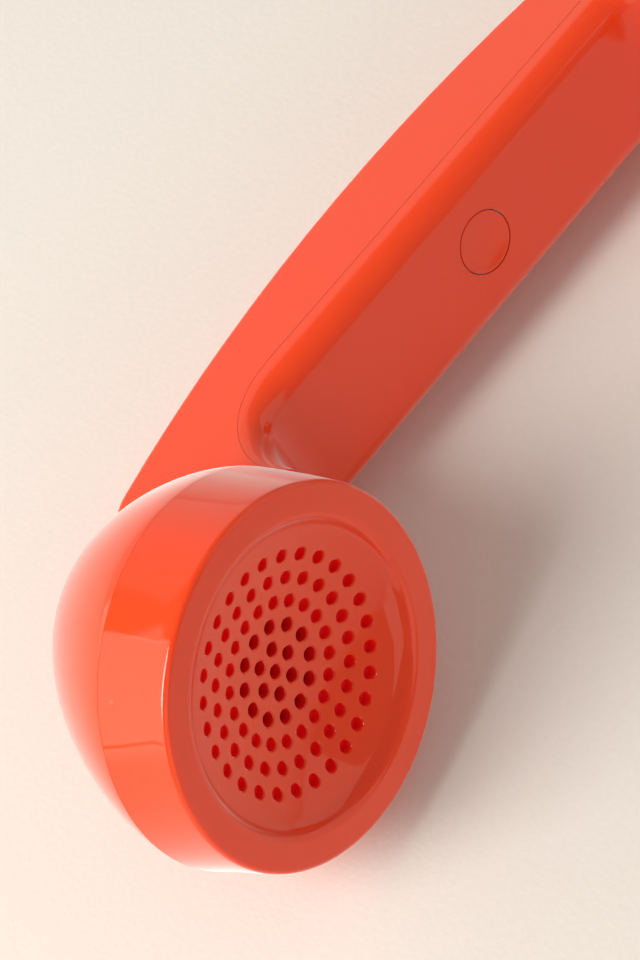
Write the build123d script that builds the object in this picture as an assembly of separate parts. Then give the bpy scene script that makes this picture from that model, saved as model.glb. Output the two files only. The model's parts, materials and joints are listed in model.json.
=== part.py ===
from build123d import *
import math
import os

# A telephone handset with an earpiece head and a mouthpiece head, all in millimetres.
# It is modelled in its own axes: X along the grip, Y across it, Z out of the grip's inner
# face, with the origin on that face in the middle. At the end it is laid down at rest.

# Grip
grip_width = 26.2
grip_depth = 21.2            # inner face to the back, in the middle
back_radius = 255.0          # the back is one long arc
back_edge_radius = 1.5
cover_height = 5.6           # inner face down to the seam
face_bend_radius = 12.8      # the inner face turns up at both ends, to the heads
face_reach = 0.37            # and comes up this far inside the edge of a head
seam_bend_radius = 17.4      # the same for the seam between the grip's two halves
seam_reach = 3.47
cover_edge_radius = 4.0
cover_plate = 2.2
cover_fit = 0.15
end_turn_inset = 9.1         # under each head, this far from its middle, the back turns up
end_turn_radius = 7.0
end_round_radius = 9.0       # the grip's corners under the heads, seen on its back
shell_wall = 2.0
lip_wall = 1.2
lip_fit = 0.15
lip_height = 2.5
seam_gap = 0.2
seam_depth = 0.8
tunnel_width = 8.0           # for the leads, from the grip into each head
tunnel_height = 5.0
tunnel_side = 6.0
tunnel_middle = -5.5
tunnel_overlap = 1.4

# Heads
head_spacing = 166.2         # between the two seam centres
head_height = 21.5           # seam centre above the inner face
head_tilt = 13.5             # degrees that each head leans towards the other
head_radius = 30.0
dome_depth = 32.3
dome_lean = 4.7              # the dome's tip leans this far towards the grip
dome_power = 1.4
dome_wall = 2.6
spigot_inset = 3.2
spigot_wall = 2.0
spigot_height = 4.0
spigot_root = 2.5
snap_height = 0.3
snap_bead_half = 0.4
snap_groove_half = 0.6

# Caps
cap_height = 13.25
cap_taper = 1.1              # the side narrows this much from seam to face
cap_face_tilt = 2.9          # degrees that the face leans back from the seam
cap_edge_radius = 0.9
cap_wall = 2.4
cap_fit = 0.2
dish_inset = 5.5             # from the head's radius in to the dish's rounded lip
dish_lip = 1.5
lip_turn = 65.0              # degrees that the lip turns down before a cove meets the floor
dish_depth = 6.4
dish_rise = 4.58             # of its curved floor, from the middle to the edge
ring_counts = (1, 6, 12, 20, 24, 28)
ring_share = 6.5             # rings of holes that would fit from the middle to the edge
open_rings = 3               # these inner rings go through, the others are blind
open_hole = 2.25
blind_hole = 2.05
blind_depth = 1.3

# Capsule seats behind each dish
seat_drop = 1.4              # seat below the back of the dish, on the axis
retainer_room = 3.8          # between the retainer and the cap's skirt
retainer_overlap = 2.2
retainer_thickness = 1.4
boss_radius = 3.0
boss_inset = 3.2
capsule_room = 2.0
capsule_fit = 0.2
locating_wall = 1.6
flange_thickness = 1.2
gasket_thickness = 1.0
gasket_play = 0.1
gasket_lip = 1.4
sound_bore_inset = 4.0
screen_play = 0.2
screen_thickness = 0.6
screw_radius = 0.9
screw_fit = 0.05
screw_length = 5.0
screw_room = 0.3
screw_head_radius = 1.9
screw_head_height = 1.3

# Receiver
basket_depth = 5.0
basket_play = 0.1
basket_wall = 0.4
basket_foot = 3.0            # the basket's foot stands out this far round the yoke
basket_foot_thickness = 1.0
basket_slope = 1.0
cone_ledge = 0.5
cone_ledge_width = 1.2
cone_thickness = 0.4
cone_depth = 3.2
cone_roll = 1.6
cone_play = 0.1
coil_share = 0.22            # the coil's and the yoke's part of the capsule's radius
coil_wall = 0.5
coil_length = 3.0
coil_play = 0.4
yoke_share = 0.46
yoke_gap = 0.5
yoke_floor = 1.2
yoke_depth = 5.2
pole_thickness = 1.0
pole_overhang = 0.1

# Microphone
mic_share = 0.323            # the microphone's part of the capsule's radius
mic_height = 5.2
mic_recess = 1.2
boot_wall = 2.4
boot_fit = 0.1
boot_lip = 1.4
boot_floor = 1.0
boot_wire_hole = 2.0
boot_collar_wall = 1.2
boot_collar_overhang = 0.5

# Call button
button_radius = 5.15
button_fit = 0.3
button_dish = 0.45
button_travel = 0.5
button_play = 0.1
flange_step = 1.2
button_flange = 1.0
collar_wall = 1.2
collar_height = 3.0
board_top = -12.0
board_length = 24.0
board_width = 16.0
board_thickness = 1.0
board_boss_x = 9.5
board_bite = 4.0
floor_boss_radius = 2.4
switch_side = 6.0
switch_height = 3.5
plunger_radius = 1.75
plunger_fit = 0.1
plunger_height = 1.1
plunger_depth = 0.7
plunger_room = 0.2

# Ballast
ballast_start = 14.0
ballast_length = 28.0
ballast_width = 15.0
ballast_height = 5.5
ballast_top = -9.3
ballast_bite = 2.3
ballast_rib = 2.0
ballast_rib_inset = 2.0

# Cord inlet in the mouthpiece head
inlet_drop = 11.0            # below the seam, along the head's axis
inlet_angle = 24.0           # degrees that the inlet points down from straight out
inlet_neck = 3.5
inlet_bore = 2.1
inlet_flange = 5.0
inlet_flange_step = 0.8
inlet_flange_thickness = 1.4
inlet_wall = 3.4
inlet_fit = 0.15
inlet_boss_wall = 2.0

# Worked out from these: the grip
half_width = grip_width / 2
seam_z = -cover_height
back_z = -grip_depth
channel_half = half_width - shell_wall
cover_wall = shell_wall + lip_fit + lip_wall
head_x = head_spacing / 2
head_edge = head_x - head_radius * math.cos(math.radians(head_tilt))
profile_top = head_height + 1
face_flat_half = head_edge + face_reach - face_bend_radius
seam_flat_half = head_edge + seam_reach - seam_bend_radius
face_line = (face_flat_half, face_bend_radius, 0)
seam_line = (seam_flat_half, seam_bend_radius, seam_z)
end_slope = math.asin((head_x - end_turn_inset) / back_radius)
end_turn_x = (back_radius - end_turn_radius) * math.sin(end_slope)
end_turn_z = back_z + back_radius - (back_radius - end_turn_radius) * math.cos(end_slope)
tunnel_start = head_edge + seam_reach - tunnel_overlap

# The cap and what sits behind it
spigot_radius = head_radius - spigot_inset
skirt_radius = spigot_radius + cap_fit
dish_radius = head_radius - dish_inset - dish_lip
dish_curve = (dish_radius ** 2 + dish_rise ** 2) / (2 * dish_rise)
hole_pitch = dish_radius / ring_share
dish_back = -dish_depth - cap_wall
seat_z = dish_back - seat_drop
capsule_back = seat_z - gasket_thickness - flange_thickness
retainer_back = capsule_back - retainer_thickness
retainer_radius = skirt_radius - retainer_room
boss_circle = retainer_radius - boss_inset
capsule_radius = boss_circle - boss_radius - capsule_room
retainer_bore = capsule_radius - retainer_overlap
sound_bore = capsule_radius - sound_bore_inset
screen_radius = sound_bore - screen_play

# The receiver and the microphone
basket_radius = retainer_bore - basket_play
cone_rim = basket_radius - basket_wall - cone_play
cone_low = seat_z - gasket_thickness - cone_ledge
cone_back = seat_z - gasket_thickness - cone_depth
yoke_top = seat_z - gasket_thickness - basket_depth
yoke_base = yoke_top - yoke_depth
yoke_radius = yoke_share * capsule_radius
coil_radius = coil_share * capsule_radius
magnet_radius = coil_radius - coil_wall - coil_play
magnet_low = yoke_base + yoke_floor
pole_low = yoke_top - pole_thickness
mic_radius = mic_share * capsule_radius
mic_top = seat_z - mic_recess
mic_low = mic_top - mic_height
boot_radius = mic_radius + boot_wall
boot_low = mic_low - boot_floor

# The button, the ballast and the inlet
button_hole = button_radius + button_fit
flange_radius = button_radius + flange_step
flange_top = -cover_plate - button_play
collar_radius = button_hole + flange_step
switch_top = board_top + switch_height
board_back = board_top - board_thickness
ballast_back = ballast_top - ballast_height
inlet_back = -inlet_flange_thickness - inlet_wall


def back_line(x, drop=0.0):
    """Height of the grip's back, or of a line that runs the drop inside it."""
    radius = back_radius - drop
    return back_z + back_radius - math.sqrt(radius ** 2 - x ** 2)


def rising_line(flat, radius, low, top):
    """A level line that turns up at both ends, in the grip's side view."""
    bend = radius * math.sqrt(0.5)
    edges = [Line((-flat, low), (flat, low))]
    for side in (1, -1):
        start = (side * flat, low)
        middle = (side * (flat + bend), low + radius - bend)
        end = (side * (flat + radius), low + radius)
        edges += [ThreePointArc(start, middle, end), Line(end, (end[0], top))]
    return edges


def side_view(edges):
    """A face in the grip's middle plane from a closed run of edges."""
    return Plane.XZ * make_face(edges)


def above(flat, radius, low):
    """Side view of everything above a rising line, up to over the heads' seams."""
    end = flat + radius
    roof = Line((-end, profile_top), (end, profile_top))
    return side_view(rising_line(flat, radius, low, profile_top) + [roof])


def grip_profile(drop=0.0):
    """Side view of the grip from its back, or a line inside it, to the heads' height."""
    turn = end_turn_radius - drop
    halfway = (end_slope + math.pi / 2) / 2
    start = [turn * math.sin(end_slope), -turn * math.cos(end_slope)]
    middle = [turn * math.sin(halfway), -turn * math.cos(halfway)]
    low = end_turn_z + start[1]
    end = end_turn_x + start[0]
    edges = [ThreePointArc((-end, low), (0, back_line(0, drop)), (end, low))]
    for side in (1, -1):
        bend = (side * (end_turn_x + middle[0]), end_turn_z + middle[1])
        tip = (side * (end_turn_x + turn), end_turn_z)
        edges += [ThreePointArc((side * end, low), bend, tip), Line(tip, (tip[0], head_height))]
    edges.append(Line((-end_turn_x - turn, head_height), (end_turn_x + turn, head_height)))
    return side_view(edges)


def across(profile, half):
    """The profile drawn out to the same half width on both sides of the grip."""
    return extrude(profile, half, both=True)


def tube(outer, inner, low, high):
    """A ring about the local Z axis."""
    ring = Cylinder(outer, high - low) - Cylinder(inner, high - low)
    return Pos(0, 0, (low + high) / 2) * ring


def rod(radius, low, high):
    """A round bar on the local Z axis."""
    return Pos(0, 0, (low + high) / 2) * Cylinder(radius, high - low)


def turned(*points):
    """A solid turned about the local Z axis from a closed outline of radius and height."""
    return revolve(side_view(Polyline(*points, close=True)), Axis.Z)


def dome(inset=0.0):
    """The head's dome below its seam, leaning towards the grip, or its inside."""
    radius = head_radius - inset
    depth = dome_depth - inset
    rings = []
    for share in (0, 0.2, 0.4, 0.6, 0.8, 0.92, 0.98):
        ring = Circle(radius * math.sqrt(1 - share ** dome_power))
        rings.append((Pos(dome_lean * share, 0, -depth * share) * ring).face())
    return loft(rings + [Vertex(dome_lean, 0, -depth)])


ear_head = Location((-head_x, 0, head_height), (0, head_tilt, 0))
mouth_head = Rot(0, 0, 180) * ear_head
face = Location((0, 0, cap_height), (0, -cap_face_tilt, 0))


def on_bosses(shape):
    """Three copies about the face's axis, on the circle of the capsule screws."""
    return [Rot(0, 0, 120 * turn) * Pos(boss_circle, 0, 0) * shape for turn in range(3)]


def dish_height(radius):
    """Height of the dish's surface below the face, at a radius."""
    return -dish_depth + dish_curve - math.sqrt(dish_curve ** 2 - radius ** 2)


def dish_cutter():
    """The shallow dish with its cove and rounded lip, as the solid taken out of the face."""
    turn = math.radians(lip_turn)
    lip = dish_radius + dish_lip
    lip_half = (lip - dish_lip * math.sin(turn / 2), dish_lip * math.cos(turn / 2) - dish_lip)
    lip_end = Vector(lip - dish_lip * math.sin(turn), dish_lip * math.cos(turn) - dish_lip)
    ball = Vector(0, dish_curve - dish_depth)
    inward = Vector(-math.sin(turn), math.cos(turn))
    reach = lip_end - ball
    cove = (dish_curve ** 2 - reach.dot(reach)) / (2 * (dish_curve + reach.dot(inward)))
    centre = lip_end + inward * cove
    down = (centre - ball).normalized()
    cove_end = centre + down * cove
    cove_half = centre + (down - inward).normalized() * cove
    floor_half = cove_end.X / 2
    edges = [
        ThreePointArc((0, -dish_depth), (floor_half, dish_height(floor_half)), cove_end),
        ThreePointArc(cove_end, cove_half, lip_end),
        ThreePointArc(lip_end, lip_half, (lip, 0)),
        Polyline((lip, 0), (lip, dish_lip), (0, dish_lip), (0, -dish_depth)),
    ]
    return revolve(side_view(edges), Axis.Z)


def sound_holes():
    """Rings of holes drilled square to the face: the inner rings go through."""
    holes = []
    for ring, count in enumerate(ring_counts):
        radius = ring * hole_pitch
        through = ring < open_rings
        low = seat_z if through else dish_height(radius) - blind_depth
        hole = rod((open_hole if through else blind_hole) / 2, low, 0)
        for step in range(count):
            holes.append(Rot(0, 0, 360 * step / count) * Pos(radius, 0, 0) * hole)
    return holes


def cap():
    """A cap in its head's axes: tapered side, dished and drilled face, seats behind it."""
    tall = cap_height + head_radius * math.tan(math.radians(cap_face_tilt))
    top_radius = head_radius - cap_taper * tall / cap_height
    body = Pos(0, 0, tall / 2) * Cone(head_radius, top_radius, tall)
    body -= face * Pos(0, 0, head_radius / 2) * Box(3 * head_radius, 3 * head_radius, head_radius)
    body = fillet(body.faces().sort_by(Axis.Z)[-1].edges(), cap_edge_radius)
    back_ball = face * Pos(0, 0, dish_curve - dish_depth) * Sphere(dish_curve + cap_wall)
    body -= rod(skirt_radius, -1, cap_height) - back_ball
    body -= face * dish_cutter()
    seat = rod(capsule_radius + capsule_fit + locating_wall, capsule_back, dish_back + cap_wall)
    seat -= rod(capsule_radius + capsule_fit, capsule_back, seat_z)
    for boss in on_bosses(rod(boss_radius, capsule_back, dish_back + 2 * cap_wall)):
        seat += boss
    body += face * (seat - Pos(0, 0, dish_curve - dish_depth) * Sphere(dish_curve + cap_wall / 2))
    chamber = rod(sound_bore, seat_z - 1, 0) - Pos(0, 0, dish_curve - dish_depth) * Sphere(
        dish_curve + cap_wall
    )
    body -= face * chamber
    pilot_depth = screw_length - retainer_thickness + screw_room
    for pilot in on_bosses(rod(screw_radius + screw_fit, capsule_back, capsule_back + pilot_depth)):
        body -= face * pilot
    groove = spigot_height / 2
    groove_low = groove - snap_groove_half
    groove_high = groove + snap_groove_half
    body -= tube(skirt_radius + snap_height, spigot_radius, groove_low, groove_high)
    body -= tube(head_radius + 1, head_radius - seam_depth, 0, seam_gap)
    return body - [face * hole for hole in sound_holes()]


def screen():
    """A felt disc in the sound bore, held up by what lies on the capsule's seat."""
    return rod(screen_radius, seat_z, seat_z + screen_thickness)


def retainer():
    """The flat ring that holds a capsule on its seat, with three screw holes."""
    ring = tube(retainer_radius, retainer_bore, retainer_back, capsule_back)
    return ring - on_bosses(rod(screw_radius + 2 * screw_fit, retainer_back, capsule_back))


def capsule_screws():
    """Three pan head screws, driven from behind."""
    shank = rod(screw_radius, retainer_back, retainer_back + screw_length)
    head = rod(screw_head_radius, retainer_back - screw_head_height, retainer_back)
    return on_bosses(shank + head)


def gasket():
    """A soft ring on the receiver's seat, which also holds up the felt disc."""
    low = seat_z - gasket_thickness
    return tube(capsule_radius - gasket_play, sound_bore - gasket_lip, low, seat_z)


def speaker_frame():
    """The receiver's pressed basket, from its flange down to the ring around the yoke."""
    top = seat_z - gasket_thickness
    inner = basket_radius - basket_wall
    foot = yoke_radius + basket_foot
    foot_low = yoke_top - basket_foot_thickness
    return turned(
        (inner, top), (capsule_radius, top), (capsule_radius, capsule_back),
        (basket_radius, capsule_back), (foot, yoke_top), (foot, foot_low),
        (yoke_radius, foot_low), (yoke_radius, yoke_top), (foot - basket_slope, yoke_top),
        (inner - cone_ledge_width, cone_low), (inner, cone_low),
    )


def speaker_cone():
    """A shallow paper cone with its closed middle, its rim on the basket's ledge."""
    high = cone_low + cone_thickness
    roll = cone_rim - cone_roll
    middle_top = cone_back + cone_thickness
    return turned(
        (0, cone_back), (coil_radius, cone_back), (roll, cone_low), (cone_rim, cone_low),
        (cone_rim, high), (roll - cone_thickness / 2, high), (coil_radius, middle_top),
        (0, middle_top),
    )


def voice_coil():
    """A short tube of wire on the back of the cone."""
    return tube(coil_radius, coil_radius - coil_wall, cone_back - coil_length, cone_back)


def speaker_yoke():
    """The steel cup that closes the magnet's path round the coil."""
    return rod(yoke_radius, yoke_base, yoke_top) - rod(coil_radius + yoke_gap, magnet_low, yoke_top)


def speaker_magnet():
    """The round magnet on the floor of the steel cup."""
    return rod(magnet_radius, magnet_low, pole_low)


def pole_plate():
    """The steel disc on the magnet, level with the rim of the cup."""
    return rod(magnet_radius + pole_overhang, pole_low, yoke_top)


def microphone_capsule():
    """The small microphone, a bought-in can."""
    return rod(mic_radius, mic_low, mic_top)


def microphone_boot():
    """A rubber cup round the microphone, open to the dish and to its wires."""
    cup = rod(boot_radius, boot_low, seat_z) - rod(mic_radius, mic_low, mic_top)
    cup -= rod(mic_radius - boot_lip, mic_top, seat_z)
    return cup - rod(boot_wire_hole, boot_low, mic_low)


def microphone_holder():
    """A moulded plate on the capsule seat, with a collar for the rubber boot."""
    low = boot_low - boot_collar_overhang
    bore = boot_radius + boot_fit
    plate = rod(capsule_radius, capsule_back, seat_z)
    return plate + rod(bore + boot_collar_wall, low, capsule_back) - rod(bore, low, seat_z)


def inlet_frame():
    """Axes of the cord inlet in the head's own axes, with local Z pointing out of the dome."""
    share = inlet_drop / dome_depth
    radius = head_radius * math.sqrt(1 - share ** dome_power)
    x = dome_lean * share - radius
    return Location((x, 0, -inlet_drop), (0, -90 - inlet_angle, 0))


def grommet():
    """A rubber ring that lines the cord inlet, with a flange on each side of the wall."""
    low = inlet_back - inlet_flange_thickness
    outer = rod(inlet_flange, -inlet_flange_thickness, 0)
    neck = rod(inlet_neck, inlet_back, -inlet_flange_thickness)
    inner = rod(inlet_flange - inlet_flange_step, low, inlet_back)
    return outer + neck + inner - rod(inlet_bore, low, 0)


def handle_shell():
    """The main moulding: the grip's trough and both domes, with spigots and bosses."""
    bar = across(grip_profile(), half_width)
    bar = fillet([edge for edge in bar.edges() if is_back_edge(edge)], back_edge_radius)
    bar &= grip_plan(0)
    shell = bar - (across(grip_profile(shell_wall), channel_half) & grip_plan(shell_wall))
    shell -= across(above(*seam_line), half_width + 1)
    for head in (ear_head, mouth_head):
        shell -= head * rod(2 * head_radius, 0, 2 * head_radius)
        shell += head * dome()
        shell -= head * dome(dome_wall)
        shell += head * spigot()
    tunnel = Box(2 * end_turn_x, tunnel_width, tunnel_height)
    keep = Box(2 * tunnel_start, grip_width, 2 * grip_depth)
    shell -= Pos(0, -tunnel_side, tunnel_middle) * tunnel - keep
    for x in (-board_boss_x, board_boss_x):
        shell += floor_boss(x, board_back, board_bite)
    for side in (1, -1):
        shell += ballast_supports(side)
    inlet = mouth_head * inlet_frame()
    boss = rod(inlet_flange + inlet_boss_wall, inlet_back, 0)
    shell += inlet * (boss & (inlet_frame().inverse() * dome()))
    shell -= inlet * rod(inlet_flange + inlet_fit, -inlet_flange_thickness, inlet_wall)
    return shell - inlet * rod(inlet_neck, 2 * inlet_back, inlet_wall)


def grip_plan(inset):
    """An upright block with the grip's outline as seen on its back, or a smaller one."""
    length = 2 * (end_turn_x + end_turn_radius - inset)
    block = Box(length, grip_width - 2 * inset, 4 * head_height)
    return fillet(block.edges().filter_by(Axis.Z), end_round_radius - inset)


def is_back_edge(edge):
    """Whether an edge runs along the side of the grip's back."""
    middle = edge.position_at(0.5)
    return abs(abs(middle.Y) - half_width) < 0.01 and middle.Z < seam_z / 2


def spigot():
    """The ring inside each head that the cap pushes onto, with its snap bead."""
    inner = spigot_radius - spigot_wall
    ring = tube(spigot_radius, inner, -spigot_root, spigot_height)
    foot = tube(head_radius - dome_wall / 2, inner, -spigot_root, 0)
    middle = spigot_height / 2
    root = spigot_radius - snap_height / 3
    bead = turned(
        (root, middle - snap_bead_half), (spigot_radius + snap_height, middle),
        (root, middle + snap_bead_half),
    )
    return ring + foot + bead


def floor_boss(x, top, bite):
    """A round boss from the trough's floor, with a pilot hole for a screw."""
    low = back_line(x) + shell_wall / 2
    pilot = rod(screw_radius + screw_fit, top - bite - screw_room, top)
    return Pos(x, 0, 0) * (rod(floor_boss_radius, low, top) - pilot)


def ballast_middle(side):
    """Place of a ballast bar along the grip."""
    return side * (ballast_start + ballast_length / 2)


def ballast_supports(side):
    """Two cross ribs and a screw boss that carry a ballast bar."""
    shape = floor_boss(ballast_middle(side), ballast_back, ballast_bite)
    reach = ballast_length / 2 - ballast_rib_inset - ballast_rib / 2
    for offset in (-reach, reach):
        x = ballast_middle(side) + offset
        low = back_line(x) + shell_wall / 2
        rib = Box(ballast_rib, ballast_width, ballast_back - low)
        shape += Pos(x, 0, (ballast_back + low) / 2) * rib
    return shape


def ballast(side):
    """A steel bar with a clearance hole for its screw."""
    bar = Box(ballast_length, ballast_width, ballast_height)
    bar = Pos(0, 0, (ballast_top + ballast_back) / 2) * bar
    bar -= rod(screw_radius + 2 * screw_fit, ballast_back, ballast_top)
    return Pos(ballast_middle(side), 0, 0) * bar


def floor_screw(x, seat, stack, bite):
    """A pan head screw whose shank goes through the stack into a boss."""
    shank = rod(screw_radius, seat - stack - bite, seat)
    head = rod(screw_head_radius, seat, seat + screw_head_height)
    return Pos(x, 0, 0) * (shank + head)


def grip_cover():
    """The inner half of the grip: rounded edges, ends turned up to the heads, inner lip."""
    block = Box(2 * head_x, grip_width, 2 * profile_top)
    block -= across(above(*face_line), half_width + 1)
    block = fillet([edge for edge in block.edges() if is_face_edge(edge)], cover_edge_radius)
    body = block & across(above(*seam_line), half_width + 1)
    cavity_half = half_width - cover_wall
    cavity_end = seam_flat_half - lip_wall
    inside = Box(2 * cavity_end, 2 * cavity_half, cover_height)
    body -= Pos(0, 0, -cover_plate - cover_height / 2) * inside
    lip = Box(2 * seam_flat_half, 2 * (channel_half - lip_fit), lip_height)
    lip -= Box(2 * cavity_end, 2 * cavity_half, lip_height)
    body += Pos(0, 0, seam_z - lip_height / 2) * lip
    raised_line = (seam_flat_half, seam_bend_radius - seam_gap, seam_z + seam_gap)
    reveal = above(*seam_line) - above(*raised_line)
    body -= across(reveal, half_width + 1) - across(reveal, half_width - seam_depth)
    collar_low = -cover_plate - collar_height
    body += tube(collar_radius + collar_wall, collar_radius, collar_low, -cover_plate)
    body -= rod(button_hole, seam_z, 1)
    for head in (ear_head, mouth_head):
        body -= head * rod(2 * head_radius, -seam_gap, 2 * head_radius)
        body -= head * dome(-cover_fit)
    return body


def is_face_edge(edge):
    """Whether an edge runs along the side of the cover's inner face."""
    middle = edge.position_at(0.5)
    if abs(abs(middle.Y) - half_width) > 0.01:
        return False
    x = max(abs(middle.X) - face_flat_half, 0)
    if middle.Z > face_bend_radius:
        return abs(x - face_bend_radius) < 0.01
    return abs(math.hypot(x, face_bend_radius - middle.Z) - face_bend_radius) < 0.01


def call_button():
    """A round key with a dished top, a flange under the cover and a stem."""
    flange_low = flange_top - button_flange
    key = rod(button_radius, flange_low, 0) + rod(flange_radius, flange_low, flange_top)
    key += rod(plunger_radius - plunger_fit, switch_top + plunger_height, flange_top)
    ball = (button_radius ** 2 + button_dish ** 2) / (2 * button_dish)
    return key - Pos(0, 0, ball - button_dish) * Sphere(ball)


def switch_plunger():
    """The small pin that the button presses into the switch."""
    return rod(plunger_radius, switch_top - plunger_depth, switch_top + plunger_height)


def tact_switch():
    """A square switch body on the board, with room for the pin's travel."""
    body = Box(switch_side, switch_side, switch_height)
    body = Pos(0, 0, board_top + switch_height / 2) * body
    low = switch_top - plunger_depth - button_travel - plunger_room
    return body - rod(plunger_radius + plunger_fit, low, switch_top)


def button_board():
    """The switch's circuit board, with a screw hole over each of its bosses."""
    board = Box(board_length, board_width, board_thickness)
    board = Pos(0, 0, board_top - board_thickness / 2) * board
    hole = rod(screw_radius + 2 * screw_fit, board_back, board_top)
    return board - Pos(-board_boss_x, 0, 0) * hole - Pos(board_boss_x, 0, 0) * hole


def board_screws():
    """Two pan head screws through the board."""
    places = (-board_boss_x, board_boss_x)
    return Compound([floor_screw(x, board_top, board_thickness, board_bite) for x in places])


def ballast_screws():
    """A pan head screw through each ballast bar."""
    places = (ballast_middle(-1), ballast_middle(1))
    return Compound([floor_screw(x, ballast_top, ballast_height, ballast_bite) for x in places])


def in_head(head, shape):
    """A shape, or a list of them, from a cap's face axes to the handset's axes."""
    if isinstance(shape, list):
        return Compound([head * face * one for one in shape])
    return head * face * shape


def rest_tilt():
    """Degrees that the faces look up when the handset lies on its side: both domes and the
    grip's back edge then touch the table, whichever of them reaches lower is lifted."""
    shares = [step / 40 for step in range(41)]
    axis = Vector(0, 0, 1).rotate(Axis.Y, head_tilt)
    low, high = 0.0, 60.0
    for _ in range(30):
        tilt = (low + high) / 2
        down = Vector(0, -math.cos(math.radians(tilt)), -math.sin(math.radians(tilt)))
        corner = Vector(0, back_edge_radius - half_width, back_z + back_edge_radius)
        grip_reach = corner.dot(down) + back_edge_radius
        dome_reach = max(ring_reach(share, axis, down) for share in shares)
        if dome_reach > grip_reach:
            low = tilt
        else:
            high = tilt
    return low


def ring_reach(share, axis, down):
    """How far a ring of the dome reaches in a direction."""
    centre = ear_head * Pos(dome_lean * share, 0, -dome_depth * share)
    radius = head_radius * math.sqrt(1 - share ** dome_power)
    return centre.position.dot(down) + radius * math.sqrt(1 - axis.dot(down) ** 2)


nodes = {
    "handle_shell": handle_shell(),
    "grip_cover": grip_cover(),
    "call_button": call_button(),
    "switch_plunger": switch_plunger(),
    "tact_switch": tact_switch(),
    "button_board": button_board(),
    "board_screws": board_screws(),
    "ballast_bar_ear": ballast(-1),
    "ballast_bar_mouth": ballast(1),
    "ballast_screws": ballast_screws(),
    "earpiece_cap": ear_head * cap(),
    "earpiece_screen": in_head(ear_head, screen()),
    "speaker_gasket": in_head(ear_head, gasket()),
    "speaker_frame": in_head(ear_head, speaker_frame()),
    "speaker_cone": in_head(ear_head, speaker_cone()),
    "voice_coil": in_head(ear_head, voice_coil()),
    "speaker_yoke": in_head(ear_head, speaker_yoke()),
    "speaker_magnet": in_head(ear_head, speaker_magnet()),
    "pole_plate": in_head(ear_head, pole_plate()),
    "speaker_retainer": in_head(ear_head, retainer()),
    "speaker_screws": in_head(ear_head, capsule_screws()),
    "mouthpiece_cap": mouth_head * cap(),
    "mouthpiece_screen": in_head(mouth_head, screen()),
    "microphone_capsule": in_head(mouth_head, microphone_capsule()),
    "microphone_boot": in_head(mouth_head, microphone_boot()),
    "microphone_holder": in_head(mouth_head, microphone_holder()),
    "microphone_retainer": in_head(mouth_head, retainer()),
    "microphone_screws": in_head(mouth_head, capsule_screws()),
    "cord_grommet": mouth_head * inlet_frame() * grommet(),
}

tilt = rest_tilt()
laid = Rot(90 - tilt, 0, 0)
outer_pieces = ("handle_shell", "earpiece_cap", "mouthpiece_cap")
box = Compound([laid * nodes[name] for name in outer_pieces]).bounding_box()
rest = Pos(0, -(box.min.Y + box.max.Y) / 2, -box.min.Z) * laid

os.makedirs("parts", exist_ok=True)
for name, shape in nodes.items():
    export_step(rest * shape, "parts/" + name + ".step")
print("rest tilt", round(tilt, 2), "shift", round(-(box.min.Y + box.max.Y) / 2, 3), round(-box.min.Z, 3))
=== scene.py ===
import json
import math

import bmesh
import bpy
from mathutils import Matrix, Vector


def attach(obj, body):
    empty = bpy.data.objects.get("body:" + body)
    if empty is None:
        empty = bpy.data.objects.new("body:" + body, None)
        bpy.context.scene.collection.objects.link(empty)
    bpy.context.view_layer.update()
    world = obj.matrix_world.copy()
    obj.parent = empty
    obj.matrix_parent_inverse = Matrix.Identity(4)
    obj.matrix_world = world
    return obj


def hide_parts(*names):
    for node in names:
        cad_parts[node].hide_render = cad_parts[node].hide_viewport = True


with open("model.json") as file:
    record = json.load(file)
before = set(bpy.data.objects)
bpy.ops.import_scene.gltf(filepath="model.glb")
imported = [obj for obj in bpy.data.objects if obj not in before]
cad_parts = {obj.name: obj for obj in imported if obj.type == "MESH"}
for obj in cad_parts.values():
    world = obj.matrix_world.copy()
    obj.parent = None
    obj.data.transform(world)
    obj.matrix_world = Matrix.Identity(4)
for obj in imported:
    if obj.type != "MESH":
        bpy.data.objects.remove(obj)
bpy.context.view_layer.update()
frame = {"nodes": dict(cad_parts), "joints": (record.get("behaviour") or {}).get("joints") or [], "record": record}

nodes = frame["nodes"]

# Handle shell: the main moulding of gloss plastic, the outer half of the grip with a dome at
# each end. It is moulded in one piece, and everything else is fixed into it. Its own axes run
# along the grip (X), across it (Y) and out of the grip's inner face (Z), in millimetres.
mounts = {mount["name"]: mount for mount in frame["record"]["mounts"]}
press = Vector(frame["joints"][0]["axis"]).normalized()
rim_points = [Vector(mounts[name]["pos_m"]) for name in ("earpiece_rim", "mouthpiece_rim")]
grip_up = -press
grip_along = Vector((1, 0, 0))
grip_across = grip_up.cross(grip_along).normalized()
head_x = 83.1
head_height = 21.5
head_tilt = math.radians(13.5)
head_radius = 30.0
cap_height = 13.25
cap_face_tilt = math.radians(2.9)
rim_height = head_height + cap_height * math.cos(head_tilt)
grip_origin = (rim_points[0] + rim_points[1]) / 2 - grip_up * rim_height / 1000
laid = Matrix((grip_along, grip_across, grip_up)).transposed().to_4x4()
laid = Matrix.Translation(grip_origin) @ laid @ Matrix.Scale(0.001, 4)
ear_head = Matrix.Translation((-head_x, 0, head_height)) @ Matrix.Rotation(head_tilt, 4, "Y")
mouth_head = Matrix.Rotation(math.pi, 4, "Z") @ ear_head
cap_face = Matrix.Translation((0, 0, cap_height)) @ Matrix.Rotation(-cap_face_tilt, 4, "Y")

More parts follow.
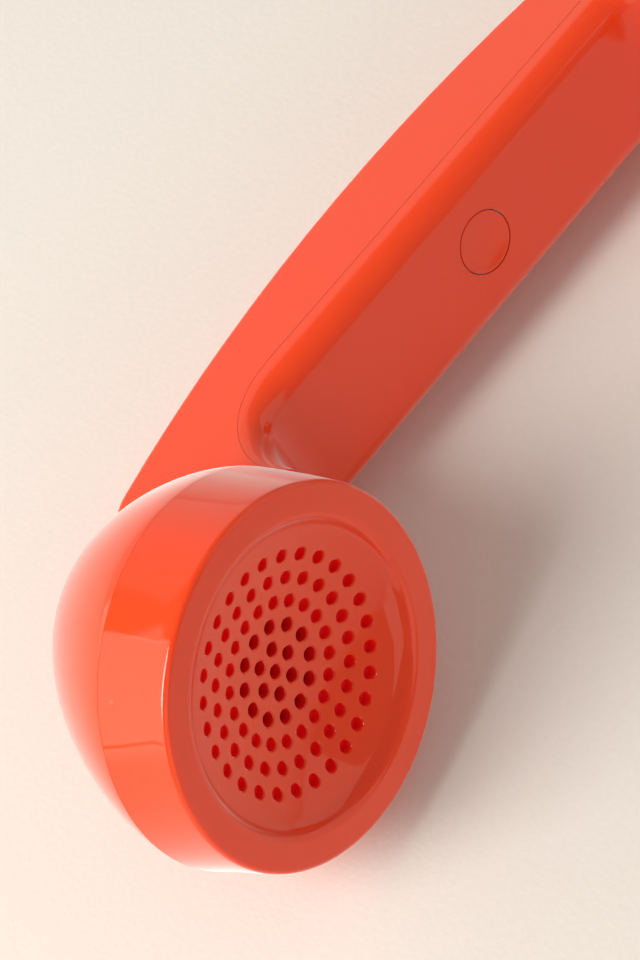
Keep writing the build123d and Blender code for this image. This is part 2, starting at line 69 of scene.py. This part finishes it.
grip_half = 13.1
grip_depth = 21.2
back_radius = 255.0
back_edge = 1.5
back_turn, turn_radius = 74.0, 7.0
shell_wall = 2.0
seam_flat, seam_bend, seam_drop = 40.0, 17.4, 5.6
seam_top = 15.0
width_turn, width_radius = 70.0, 9.0
least_trough = 0.5
dome_depth = 32.3
dome_lean = 4.7
dome_power = 1.4
dome_wall = 2.6
dome_clear = 0.03
dome_steps, round_segments = 44, 144
weld = 0.0005


def finish_piece(bm, name, body, slot, *replaced):
    """Puts a shape drawn in the handset's axes in its place under its own name, fixes it to its body and hides the
    CAD parts it stands for.
    """
    bmesh.ops.remove_doubles(bm, verts=bm.verts, dist=weld)
    bmesh.ops.recalc_face_normals(bm, faces=bm.faces)
    mesh = bpy.data.meshes.new(name)
    bm.to_mesh(mesh)
    bm.free()
    mesh.transform(laid)
    mesh.shade_smooth()
    mesh.set_sharp_from_angle(angle=math.radians(35))
    piece = bpy.data.objects.new(name, mesh)
    bpy.context.scene.collection.objects.link(piece)
    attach(piece, body)
    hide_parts(*replaced)
    return piece


def even_shading(piece):
    """Large flat faces keep their own direction beside small rounded edges."""
    even = piece.modifiers.new("even shading", "WEIGHTED_NORMAL")
    even.mode = "FACE_AREA"
    even.weight = 100
    even.keep_sharp = True


def lofted(bm, sections):
    """Skins closed sections that have the same number of points, and closes both ends."""
    previous = None
    for section in sections:
        ring = [bm.verts.new(point) for point in section]
        edges = [bm.edges.new(pair) for pair in zip(ring, ring[1:] + ring[:1])]
        if previous is None:
            bm.faces.new(ring)
        else:
            bmesh.ops.bridge_loops(bm, edges=previous + edges)
        previous = edges
    bm.faces.new(ring)


def dome_ring(turn, inset):
    """Radius, lean and height of a dome's ring, from the seam (0) to the tip (90 degrees)."""
    share = math.sin(turn) ** (2 / dome_power)
    radius = head_radius - inset - dome_clear
    return radius * math.cos(turn), dome_lean * share, -(dome_depth - inset) * share


def add_dome(bm, head):
    """A dome with its wall: down the outside from the seam, and the inside the same way."""
    earlier = set(bm.verts)
    for inset in (0, dome_wall):
        radius, lean, height = dome_ring(0, inset)
        made = bmesh.ops.create_circle(bm, segments=round_segments, radius=radius)["verts"]
        edges = list({edge for vert in made for edge in vert.link_edges})
        if inset == 0:
            outer = edges
        else:
            bmesh.ops.bridge_loops(bm, edges=outer + edges)
        for step in range(1, dome_steps):
            last_radius, last_lean = radius, lean
            radius, lean, height = dome_ring(math.radians(90 * step / dome_steps), inset)
            scale = radius / last_radius
            made = bmesh.ops.extrude_edge_only(bm, edges=edges)["geom"]
            ring = [item for item in made if isinstance(item, bmesh.types.BMVert)]
            for vert in ring:
                vert.co = (lean + (vert.co.x - last_lean) * scale, vert.co.y * scale, height)
            edges = [item for item in made if isinstance(item, bmesh.types.BMEdge)]
        tip = Vector((dome_lean, 0, -(dome_depth - inset)))
        bmesh.ops.pointmerge(bm, verts=ring, merge_co=tip)
    bmesh.ops.transform(bm, matrix=head, verts=[vert for vert in bm.verts if vert not in earlier])


def back_line(x):
    """Height of the grip's back, which turns up into the dome under each head."""
    slope = math.asin(back_turn / back_radius)
    middle = (back_radius - turn_radius) * math.sin(slope)
    if abs(x) <= back_turn:
        return back_radius - grip_depth - math.sqrt(back_radius ** 2 - x ** 2)
    height = back_radius - grip_depth - (back_radius - turn_radius) * math.cos(slope)
    return height - math.sqrt(max(turn_radius ** 2 - (abs(x) - middle) ** 2, 0))


def half_width(x):
    """Half the grip's width, rounded off under each head."""
    beyond = max(abs(x) - width_turn, 0)
    return grip_half - width_radius + math.sqrt(max(width_radius ** 2 - beyond ** 2, 0))


def seam_line(x):
    """Height of the seam between the grip's two halves, up to inside the heads."""
    beyond = abs(x) - seam_flat
    if beyond <= 0:
        return -seam_drop
    if beyond >= seam_bend:
        return seam_top
    return -seam_drop + seam_bend - math.sqrt(seam_bend ** 2 - beyond ** 2)


def trough_section(x):
    """The shell's U-shaped section: down one side, round both back edges, up, and back inside."""
    half, back, top = half_width(x), back_line(x), seam_line(x)
    points = [(-half, top)]
    arc_steps = 6
    for side in (-1, 1):
        for step in range(arc_steps + 1):
            turn = math.radians(90 * (step if side < 0 else arc_steps - step) / arc_steps)
            y = half - back_edge + back_edge * math.cos(turn)
            points.append((side * y, back + back_edge - back_edge * math.sin(turn)))
    points.append((half, top))
    inner = half - shell_wall
    floor = min(back + shell_wall, top - least_trough)
    points += [(inner, top), (inner, floor), (-inner, floor), (-inner, top)]
    return [(x, y, z) for y, z in points]


bm = bmesh.new()
for head in (ear_head, mouth_head):
    add_dome(bm, head)
stations = [seam_flat * step / 5 for step in range(6)]
stations += [seam_flat + seam_bend * math.sin(math.radians(angle)) for angle in range(6, 91, 6)]
stations += [57.5, 60, 64, 68, 70, 71, 72, 73.5, 75, 76.5, 77.6, 78.4]
stations = [-x for x in reversed(stations[1:])] + stations
lofted(bm, [trough_section(x) for x in stations])
shell = finish_piece(bm, "moulded_shell", "handset", "orange_red_plastic", "handle_shell")
even_shading(shell)

# Gloss plastic: every outer piece is moulded in the same orange-red plastic, dyed through and
# polished. Light goes a little way in, and the surface has a faint ripple and a little dust.


def moulded_gloss_group():
    """Colour, roughness and relief of polished plastic, shared by the outer pieces."""
    group = bpy.data.node_groups.new("moulded gloss", "ShaderNodeTree")
    face = group.interface
    face.new_socket("Colour", in_out="INPUT", socket_type="NodeSocketColor")
    face.new_socket("Deep colour", in_out="INPUT", socket_type="NodeSocketColor")
    for name in ("Colour", "Roughness", "Height"):
        kind = "NodeSocketColor" if name == "Colour" else "NodeSocketFloat"
        face.new_socket(name, in_out="OUTPUT", socket_type=kind)
    tree, link = group.nodes, group.links.new
    source = tree.new("NodeGroupInput")
    result = tree.new("NodeGroupOutput")
    place = tree.new("ShaderNodeTexCoord")
    cloud = tree.new("ShaderNodeTexNoise")
    cloud.inputs["Scale"].default_value = 22.0
    cloud.inputs["Detail"].default_value = 3.0
    link(place.outputs["Object"], cloud.inputs["Vector"])
    mix = tree.new("ShaderNodeMix")
    mix.data_type = "RGBA"
    link(cloud.outputs["Fac"], mix.inputs["Factor"])
    link(source.outputs["Colour"], mix.inputs[6])
    link(source.outputs["Deep colour"], mix.inputs[7])
    link(mix.outputs[2], result.inputs["Colour"])
    dust = tree.new("ShaderNodeTexNoise")
    dust.inputs["Scale"].default_value = 900.0
    dust.inputs["Detail"].default_value = 1.0
    link(place.outputs["Object"], dust.inputs["Vector"])
    specks = tree.new("ShaderNodeMapRange")
    specks.inputs["From Min"].default_value = 0.68
    specks.inputs["From Max"].default_value = 0.80
    specks.inputs["To Min"].default_value = 0.055
    specks.inputs["To Max"].default_value = 0.22
    link(dust.outputs["Fac"], specks.inputs["Value"])
    link(specks.outputs["Result"], result.inputs["Roughness"])
    ripple = tree.new("ShaderNodeTexNoise")
    ripple.inputs["Scale"].default_value = 60.0
    ripple.inputs["Detail"].default_value = 1.5
    link(place.outputs["Object"], ripple.inputs["Vector"])
    link(ripple.outputs["Fac"], result.inputs["Height"])
    return group


def gloss_plastic(name, colour, deep):
    """A polished plastic of one dye, with its gloss set on the shader's own sockets."""
    material = bpy.data.materials.new(name)
    material.use_nodes = True
    tree, link = material.node_tree.nodes, material.node_tree.links.new
    shader = tree["Principled BSDF"]
    look = tree.new("ShaderNodeGroup")
    look.node_tree = moulded_gloss
    look.inputs["Colour"].default_value = (*colour, 1)
    look.inputs["Deep colour"].default_value = (*deep, 1)
    link(look.outputs["Colour"], shader.inputs["Base Color"])
    link(look.outputs["Roughness"], shader.inputs["Roughness"])
    bump = tree.new("ShaderNodeBump")
    bump.inputs["Strength"].default_value = 0.12
    bump.inputs["Distance"].default_value = 0.00012
    link(look.outputs["Height"], bump.inputs["Height"])
    link(bump.outputs["Normal"], shader.inputs["Normal"])
    shader.inputs["IOR"].default_value = 1.52
    shader.inputs["Subsurface Weight"].default_value = 0.3
    shader.inputs["Subsurface Radius"].default_value = (1.0, 0.12, 0.03)
    shader.inputs["Subsurface Scale"].default_value = 0.0016
    shader.inputs["Sheen Weight"].default_value = 0.9
    shader.inputs["Sheen Roughness"].default_value = 0.3
    return material


moulded_gloss = moulded_gloss_group()
orange_red = gloss_plastic("orange_red_gloss", (0.86, 0.060, 0.006), (0.84, 0.053, 0.005))
shell.data.materials.append(orange_red)

# Grip cover: the inner half of the grip, a moulded lid with well rounded long edges, whose ends
# sweep up under the caps. It snaps into the shell's trough, and a fine groove shows all round.
face_flat, face_bend = 41.5, 12.8
cover_edge = 4.0
cover_plate = 2.2
reveal = 0.1
reveal_depth = 0.2
button_hole = 5.4
cavity_length, cavity_width, cavity_height = 77.0, 19.5, 10.0


def cover_frame(along):
    """Point on the cover's inner face, its outward direction, and the depth to the seam there."""
    side = 1 if along >= 0 else -1
    length = abs(along)
    quarter = face_bend * math.pi / 2
    if length <= face_flat:
        point, turn = Vector((length, 0, 0)), 0.0
    elif length <= face_flat + quarter:
        turn = (length - face_flat) / face_bend
        rise = face_bend - face_bend * math.cos(turn)
        point = Vector((face_flat + face_bend * math.sin(turn), 0, rise))
    else:
        turn = math.pi / 2
        point = Vector((face_flat + face_bend, 0, face_bend + length - face_flat - quarter))
    out = Vector((-math.sin(turn), 0, math.cos(turn)))
    depth = seam_depth(point, -out)
    return Vector((side * point.x, 0, point.z)), Vector((side * out.x, 0, out.z)), depth


def seam_depth(point, inward):
    """Distance from the inner face to the seam, measured square to the face."""
    centre = Vector((seam_flat, 0, seam_bend - seam_drop))
    if inward.x < 1e-6 and point.x <= seam_flat:
        return seam_drop
    if point.z >= centre.z and inward.x > 1 - 1e-6:
        return seam_flat + seam_bend - point.x
    offset = point - centre
    half = offset.dot(inward)
    return -half + math.sqrt(half ** 2 - offset.length_squared + seam_bend ** 2)


def cover_section(depth):
    """The cover's section as (across, outward) points, from one seam over the face to the other."""
    points = [(-(grip_half - reveal_depth), -depth), (-(grip_half - reveal_depth), reveal - depth)]
    arc_steps = 12
    start = math.asin(min((cover_edge - min(depth - reveal, cover_edge)) / cover_edge, 1))
    side = []
    if depth - reveal > cover_edge + 0.05:
        side.append((grip_half, reveal - depth))
    else:
        side.append((grip_half - cover_edge + cover_edge * math.cos(start), reveal - depth))
    for step in range(arc_steps + 1):
        turn = start + (math.pi / 2 - start) * step / arc_steps
        y = grip_half - cover_edge + cover_edge * math.cos(turn)
        side.append((y, -cover_edge + cover_edge * math.sin(turn)))
    points += [(-y, z) for y, z in side]
    points += [(y, z) for y, z in reversed(side)]
    points += [(-y, z) for y, z in reversed(points[:2])]
    return points


def cut_away(bm, cutter_bm):
    """Cuts one drawn shape out of another, and gives the result as a new drawing."""
    pieces = []
    for shape in (bm, cutter_bm):
        bmesh.ops.remove_doubles(shape, verts=shape.verts, dist=weld)
        bmesh.ops.recalc_face_normals(shape, faces=shape.faces)
        mesh = bpy.data.meshes.new("drawing")
        shape.to_mesh(mesh)
        shape.free()
        piece = bpy.data.objects.new("drawing", mesh)
        bpy.context.scene.collection.objects.link(piece)
        pieces.append(piece)
    cut = pieces[0].modifiers.new("cut", "BOOLEAN")
    cut.operation = "DIFFERENCE"
    cut.solver = "EXACT"
    cut.use_self = True
    cut.object = pieces[1]
    graph = bpy.context.evaluated_depsgraph_get()
    result = bmesh.new()
    result.from_object(pieces[0], graph)
    for piece in pieces:
        mesh = piece.data
        bpy.data.objects.remove(piece)
        bpy.data.meshes.remove(mesh)
    return result


quarter = face_bend * math.pi / 2
stations = [0, 10, 20, 30, 38, 41]
stations += [face_flat + quarter * step / 24 for step in range(25)]
stations += [face_flat + quarter + past for past in (0.8, 1.6)]
stations = [-along for along in reversed(stations[1:])] + stations
sections = []
for along in stations:
    point, out, depth = cover_frame(along)
    sections.append([point + Vector((0, y, 0)) + out * z for y, z in cover_section(depth)])
bm = bmesh.new()
lofted(bm, sections)
for head in (ear_head, mouth_head):
    plane = head @ Vector((0, 0, -reveal))
    across = head.to_3x3() @ Vector((0, 0, 1))
    side = 1 if plane.x > 0 else -1
    ends = {face for face in bm.faces if side * face.calc_center_median().x > face_flat + 2}
    corners = {vert for face in ends for vert in face.verts}
    borders = {edge for face in ends for edge in face.edges}
    cut = bmesh.ops.bisect_plane(
        bm, geom=list(corners | borders | ends), plane_co=plane, plane_no=across, clear_outer=True
    )
    rim = [item for item in cut["geom_cut"] if isinstance(item, bmesh.types.BMEdge)]
    bmesh.ops.edgeloop_fill(bm, edges=rim)
cutter = bmesh.new()
bmesh.ops.create_cone(
    cutter, cap_ends=True, segments=96, radius1=button_hole, radius2=button_hole, depth=2 * cover_plate
)
cavity = Matrix.Translation((0, 0, -cover_plate - cavity_height / 2))
cavity = cavity @ Matrix.Diagonal((cavity_length, cavity_width, cavity_height, 1))
bmesh.ops.create_cube(cutter, size=1, matrix=cavity)
bm = cut_away(bm, cutter)
cover = finish_piece(bm, "grip_lid", "handset", "orange_red_plastic", "grip_cover")
cover.data.materials.append(orange_red)
even_shading(cover)

# Call button: a round key of the same plastic with a shallow finger dish, which comes up
# through the cover and is held in by its flange. It is pressed against a small switch.
button_radius = 5.18
button_dish = 0.45
button_edge = 0.12
flange_radius, flange_top, flange_low = 6.35, -2.3, -3.3
stem_radius, stem_low = 1.65, -7.4


def turned(bm, profile, segments):
    """Turns an outline of radius and height about the Z axis."""
    verts = [bm.verts.new((radius, 0, height)) for radius, height in profile]
    edges = [bm.edges.new(pair) for pair in zip(verts, verts[1:])]
    bmesh.ops.spin(
        bm, geom=verts + edges, cent=(0, 0, 0), axis=(0, 0, 1), angle=2 * math.pi,
        steps=segments, use_merge=True, use_duplicate=False,
    )
    bmesh.ops.remove_doubles(bm, verts=bm.verts, dist=weld)


bm = bmesh.new()
ball = (button_radius ** 2 + button_dish ** 2) / (2 * button_dish)
profile = []
for step in range(17):
    radius = (button_radius - button_edge) * step / 16
    profile.append((radius, ball - button_dish - math.sqrt(ball ** 2 - radius ** 2)))
edge_top = profile[-1][1]
for step in range(1, 5):
    turn = math.radians(22.5 * step)
    radius = button_radius - button_edge + button_edge * math.sin(turn)
    profile.append((radius, edge_top - button_edge + button_edge * math.cos(turn)))
profile += [(button_radius, flange_top), (flange_radius, flange_top), (flange_radius, flange_low)]
profile += [(stem_radius, flange_low), (stem_radius, stem_low), (0, stem_low)]
turned(bm, profile, 96)
button = finish_piece(bm, "round_key", "button", "orange_red_plastic", "call_button")
button.data.materials.append(orange_red)

# Caps: a round cap on each head, moulded in the same plastic, with a crisp rim and a shallow
# dish full of sound holes, the inner ones through. It snaps onto a ring inside the dome.
cap_radius = 28.9
cap_edge = 0.9
dish_radius = 23.0
dish_depth = 6.4
dish_ball = 60.0
dish_lip = 1.5
lip_turn = 65.0
rim_stops = (25.2, 26.6)
cap_wall = 2.4
skirt_radius = 27.0
ring_share = 6.5
hole_pitch = dish_radius / ring_share
ring_counts = (1, 6, 12, 20, 24, 28)
open_rings = 3
open_hole, blind_hole = 1.125, 1.025
blind_depth = 1.3
hole_round = 0.19
# Depths below the dish between which the hole walls get painted shade.
hole_shade_top, hole_shade_floor = 0.35, 2.3


def dish_height(radius):
    """Height of the dish's surface at a radius, in the face's axes."""
    return dish_ball - dish_depth - math.sqrt(dish_ball ** 2 - radius ** 2)


def arc(centre, radius, start, end, steps):
    """Points on an arc of the outline, with angles from the radius' own direction."""
    turns = [math.radians(start + (end - start) * step / steps) for step in range(steps + 1)]
    return [(centre[0] + radius * math.cos(turn), centre[1] + radius * math.sin(turn)) for turn in turns]


def cap_profile():
    """Outline of the cap in its face's axes, from the dish's middle over the rim to the back."""
    turn = math.radians(lip_turn)
    lip = dish_radius + dish_lip
    lip_end = Vector((lip - dish_lip * math.sin(turn), dish_lip * math.cos(turn) - dish_lip))
    ball = Vector((0, dish_ball - dish_depth))
    inward = Vector((-math.sin(turn), math.cos(turn)))
    reach = lip_end - ball
    cove = (dish_ball ** 2 - reach.length_squared) / (2 * (dish_ball + reach.dot(inward)))
    centre = lip_end + inward * cove
    slope = math.degrees(math.atan2(centre.x, ball.y - centre.y))
    cove_end = centre.x + cove * math.sin(math.radians(slope))
    points = [(cove_end * step / 24, dish_height(cove_end * step / 24)) for step in range(24)]
    points += arc(centre, cove, slope - 90, lip_turn - 90, 8)
    points += arc((lip, -dish_lip), dish_lip, lip_turn + 90, 90, 8)[1:]
    points += [(stop, 0) for stop in rim_stops]
    lean = math.atan2(head_radius - cap_radius, cap_height)
    centre = cap_radius - cap_edge * (1 - math.sin(lean)) / math.cos(lean)
    for step in range(13):
        turn = math.pi / 2 + (lean - math.pi / 2) * step / 12
        points.append((centre + cap_edge * math.cos(turn), -cap_edge + cap_edge * math.sin(turn)))
    low = -cap_height
    for share in (0.15, 0.4, 0.7):
        height = -cap_edge + (low + reveal + cap_edge) * share
        points.append((cap_radius - height * math.tan(lean), height))
    points += [(head_radius, low + reveal), (head_radius - reveal_depth, low + reveal)]
    points += [(head_radius - reveal_depth, low), (skirt_radius, low)]
    back_ball = dish_ball + cap_wall
    for step in range(13):
        radius = skirt_radius * (1 - step / 12)
        points.append((radius, dish_ball - dish_depth - math.sqrt(back_ball ** 2 - radius ** 2)))
    return points


def seat_on_head(co):
    """From the face's axes to the head's: the face is tilted, and the seam stays level."""
    tilted = cap_face @ co
    upright = co + Vector((0, 0, cap_height))
    radius = math.hypot(co.x, co.y)
    if radius < skirt_radius - 0.01:
        return tilted
    share = min(max((-co.z - cap_edge) / (cap_height - cap_edge - reveal), 0), 1)
    return tilted.lerp(upright, share)


def sound_hole_cutter(bm):
    """Drills for all the sound holes, each with a small countersink square to the dish."""
    for ring, count in enumerate(ring_counts):
        radius = ring * hole_pitch
        through = ring < open_rings
        size = open_hole if through else blind_hole
        surface = dish_height(radius)
        low = surface - (2 * cap_wall if through else blind_depth)
        high = surface + 2
        slope = math.asin(radius / dish_ball)
        for step in range(count):
            around = Matrix.Rotation(2 * math.pi * step / count, 4, "Z")
            drill = Matrix.Translation((radius, 0, (low + high) / 2))
            bmesh.ops.create_cone(
                bm, cap_ends=True, segments=24, radius1=size, radius2=size, depth=high - low,
                matrix=around @ drill,
            )
            mouth = Matrix.Translation((radius, 0, surface)) @ Matrix.Rotation(-slope, 4, "Y")
            bmesh.ops.create_cone(
                bm, cap_ends=True, segments=24, radius1=size - hole_round, radius2=size + 3 * hole_round,
                depth=4 * hole_round, matrix=around @ mouth,
            )


bm = bmesh.new()
turned(bm, cap_profile(), round_segments)
cutter = bmesh.new()
sound_hole_cutter(cutter)
drilled = cut_away(bm, cutter)
hole_field = (len(ring_counts) - 1) * hole_pitch + open_hole
# Faces of the hole walls take the second material, which is painted shade: a deeper, more saturated red that
# stands in for the dim, reddened light inside the holes.
for face in drilled.faces:
    middle = face.calc_center_median()
    radius = math.hypot(middle.x, middle.y)
    if radius < hole_field and hole_shade_top < dish_height(radius) - middle.z < hole_shade_floor:
        face.material_index = 1
for vert in drilled.verts:
    vert.co = seat_on_head(vert.co)
# Painted shade for the hole walls: the same plastic in a deeper, more saturated red, with less gloss and no sheen,
# standing in for the shade inside the holes.
painted_hole_shade = gloss_plastic("orange_red_painted_hole_shade", (0.98, 0.012, 0.012), (0.96, 0.010, 0.010))
painted_hole_shade_shader = painted_hole_shade.node_tree.nodes["Principled BSDF"]
painted_hole_shade_shader.inputs["Sheen Weight"].default_value = 0.0
painted_hole_shade_shader.inputs["Specular IOR Level"].default_value = 0.3
for name, head, node in (
    ("ear_cap", ear_head, "earpiece_cap"),
    ("mouth_cap", mouth_head, "mouthpiece_cap"),
):
    bm = drilled.copy()
    bmesh.ops.transform(bm, matrix=head, verts=bm.verts)
    cap = finish_piece(bm, name, "handset", "orange_red_plastic", node)
    cap.data.materials.append(orange_red)
    cap.data.materials.append(painted_hole_shade)
drilled.free()

# Inside: the receiver, the microphone, the switch board, the two steel weights and the screws
# that hold them. They are plain bought-in parts, and only the felt behind the holes is seen.


def plain_finish(name, colour, roughness, metallic=0.0, grain=300.0, relief=0.00003):
    """A finish with a fine grain that varies its colour and gloss a little."""
    material = bpy.data.materials.new(name)
    material.use_nodes = True
    tree, link = material.node_tree.nodes, material.node_tree.links.new
    shader = tree["Principled BSDF"]
    place = tree.new("ShaderNodeTexCoord")
    grains = tree.new("ShaderNodeTexNoise")
    grains.inputs["Scale"].default_value = grain
    grains.inputs["Detail"].default_value = 4.0
    link(place.outputs["Object"], grains.inputs["Vector"])
    tint = tree.new("ShaderNodeMix")
    tint.data_type = "RGBA"
    tint.inputs[6].default_value = (*[0.75 * part for part in colour], 1)
    tint.inputs[7].default_value = (*colour, 1)
    link(grains.outputs["Fac"], tint.inputs["Factor"])
    link(tint.outputs[2], shader.inputs["Base Color"])
    gloss = tree.new("ShaderNodeMapRange")
    gloss.inputs["To Min"].default_value = roughness - 0.08
    gloss.inputs["To Max"].default_value = roughness + 0.08
    link(grains.outputs["Fac"], gloss.inputs["Value"])
    link(gloss.outputs["Result"], shader.inputs["Roughness"])
    bump = tree.new("ShaderNodeBump")
    bump.inputs["Strength"].default_value = 0.5
    bump.inputs["Distance"].default_value = relief
    link(grains.outputs["Fac"], bump.inputs["Height"])
    link(bump.outputs["Normal"], shader.inputs["Normal"])
    shader.inputs["Metallic"].default_value = metallic
    return material


finishes = {
    "black_plastic": plain_finish("black_moulding", (0.03, 0.03, 0.03), 0.45),
    "board_laminate": plain_finish("green_laminate", (0.03, 0.12, 0.05), 0.4),
    "felt": plain_finish("black_felt", (0.012, 0.010, 0.010), 0.9, grain=1500.0, relief=0.0001),
    "paper": plain_finish("cone_paper", (0.05, 0.045, 0.04), 0.85, grain=900.0),
    "black_rubber": plain_finish("soft_rubber", (0.018, 0.018, 0.018), 0.65),
    "zinc_steel": plain_finish("zinc_plate", (0.62, 0.62, 0.58), 0.35, metallic=1.0),
    "bare_steel": plain_finish("rolled_steel", (0.42, 0.42, 0.43), 0.5, metallic=1.0),
    "pressed_steel": plain_finish("pressed_sheet", (0.30, 0.30, 0.31), 0.4, metallic=1.0),
    "capsule_can": plain_finish("drawn_can", (0.70, 0.70, 0.72), 0.3, metallic=1.0),
    "copper": plain_finish("enamelled_wire", (0.55, 0.20, 0.08), 0.3, metallic=1.0, grain=2000.0),
}
shown_elsewhere = {"handle_shell", "grip_cover", "call_button", "earpiece_cap", "mouthpiece_cap"}
for part in frame["record"]["subparts"]:
    if part["node"] in shown_elsewhere:
        continue
    node = nodes[part["node"]]
    node.data.materials.clear()
    node.data.materials.append(finishes[part["material_slot"]])

# Table: a sheet of heavy cream paper that the handset lies on, under soft daylight from a tall
# window beyond the earpiece head, with the room's pale walls all round.
paper_size = 3.0
bm = bmesh.new()
bmesh.ops.create_grid(bm, x_segments=1, y_segments=1, size=paper_size / 2)
mesh = bpy.data.meshes.new("paper")
bm.to_mesh(mesh)
bm.free()
paper = bpy.data.objects.new("paper", mesh)
bpy.context.scene.collection.objects.link(paper)
material = bpy.data.materials.new("cream_paper")
material.use_nodes = True
tree, link = material.node_tree.nodes, material.node_tree.links.new
shader = tree["Principled BSDF"]
place = tree.new("ShaderNodeTexCoord")
fibre = tree.new("ShaderNodeTexNoise")
fibre.inputs["Scale"].default_value = 900.0
fibre.inputs["Detail"].default_value = 5.0
link(place.outputs["Object"], fibre.inputs["Vector"])
tint = tree.new("ShaderNodeMix")
tint.data_type = "RGBA"
tint.inputs[6].default_value = (0.78, 0.755, 0.70, 1)
tint.inputs[7].default_value = (0.83, 0.805, 0.75, 1)
link(fibre.outputs["Fac"], tint.inputs["Factor"])
link(tint.outputs[2], shader.inputs["Base Color"])
bump = tree.new("ShaderNodeBump")
bump.inputs["Strength"].default_value = 0.35
bump.inputs["Distance"].default_value = 0.00014
link(fibre.outputs["Fac"], bump.inputs["Height"])
link(bump.outputs["Normal"], shader.inputs["Normal"])
shader.inputs["Roughness"].default_value = 0.9
shader.inputs["Specular IOR Level"].default_value = 0.2
paper.data.materials.append(material)


def window(name, place, target, size, power, colour):
    light = bpy.data.lights.new(name, "AREA")
    light.shape = "RECTANGLE"
    light.size, light.size_y = size
    light.energy = power
    light.color = colour
    lamp = bpy.data.objects.new(name, light)
    lamp.location = place
    lamp.rotation_euler = (Vector(target) - Vector(place)).to_track_quat("-Z", "Y").to_euler()
    bpy.context.scene.collection.objects.link(lamp)
    return lamp


window("left_window", (-0.892, 0.29, 0.745), (-0.07, 0, 0.03), (0.42, 0.78), 12.0, (1.0, 1.0, 0.985))
window("left_wall", (-1.1, 0.52, 0.45), (-0.05, 0, 0.03), (1.2, 0.9), 6.4, (1.0, 0.92, 0.76))
window("corner_wall", (-0.62, 1.37, 0.45), (0, 0, 0.03), (0.6, 0.9), 1.9, (1.0, 0.92, 0.8))
window("far_wall", (0.1, 1.7, 0.55), (0, 0, 0), (3.0, 1.1), 4.0, (1.0, 0.99, 0.96))
window("right_wall", (1.5, -0.75, 0.6), (0, 0, 0), (2.0, 1.3), 5.0, (1.0, 0.83, 0.75))
window("near_wall", (-0.65, -1.6, 0.6), (0, 0, 0), (1.6, 1.3), 5.5, (1.0, 0.83, 0.75))
world = bpy.data.worlds.new("room")
world.use_nodes = True
bpy.context.scene.world = world
backdrop = world.node_tree.nodes["Background"]
backdrop.inputs["Color"].default_value = (1.0, 0.93, 0.88, 1)
backdrop.inputs["Strength"].default_value = 0.34

# Camera: over the earpiece head from its outer side, a little above the far side of the table,
# as the picture was taken. It looks at the head, so the far head runs out of the frame.
camera = bpy.data.cameras.new("camera")
camera.sensor_fit = "VERTICAL"
camera.sensor_height = 36.0
camera.lens = 129.5
camera.clip_end = 20.0
eye = bpy.data.objects.new("camera", camera)
bpy.context.scene.collection.objects.link(eye)
camera_place = Vector((-203.31, 320.79, 399.6))
camera_right = Vector((0.62053, -0.47035, 0.62747))
camera_down = Vector((-0.72851, -0.64188, 0.2393))
turn = Matrix((camera_right, -camera_down, camera_right.cross(-camera_down))).transposed().to_4x4()
grip_axes = Matrix((grip_along, grip_across, grip_up)).transposed().to_4x4()
eye.matrix_world = Matrix.Translation(laid @ camera_place) @ grip_axes @ turn
bpy.context.scene.camera = eye
bpy.context.scene.view_settings.view_transform = "Standard"
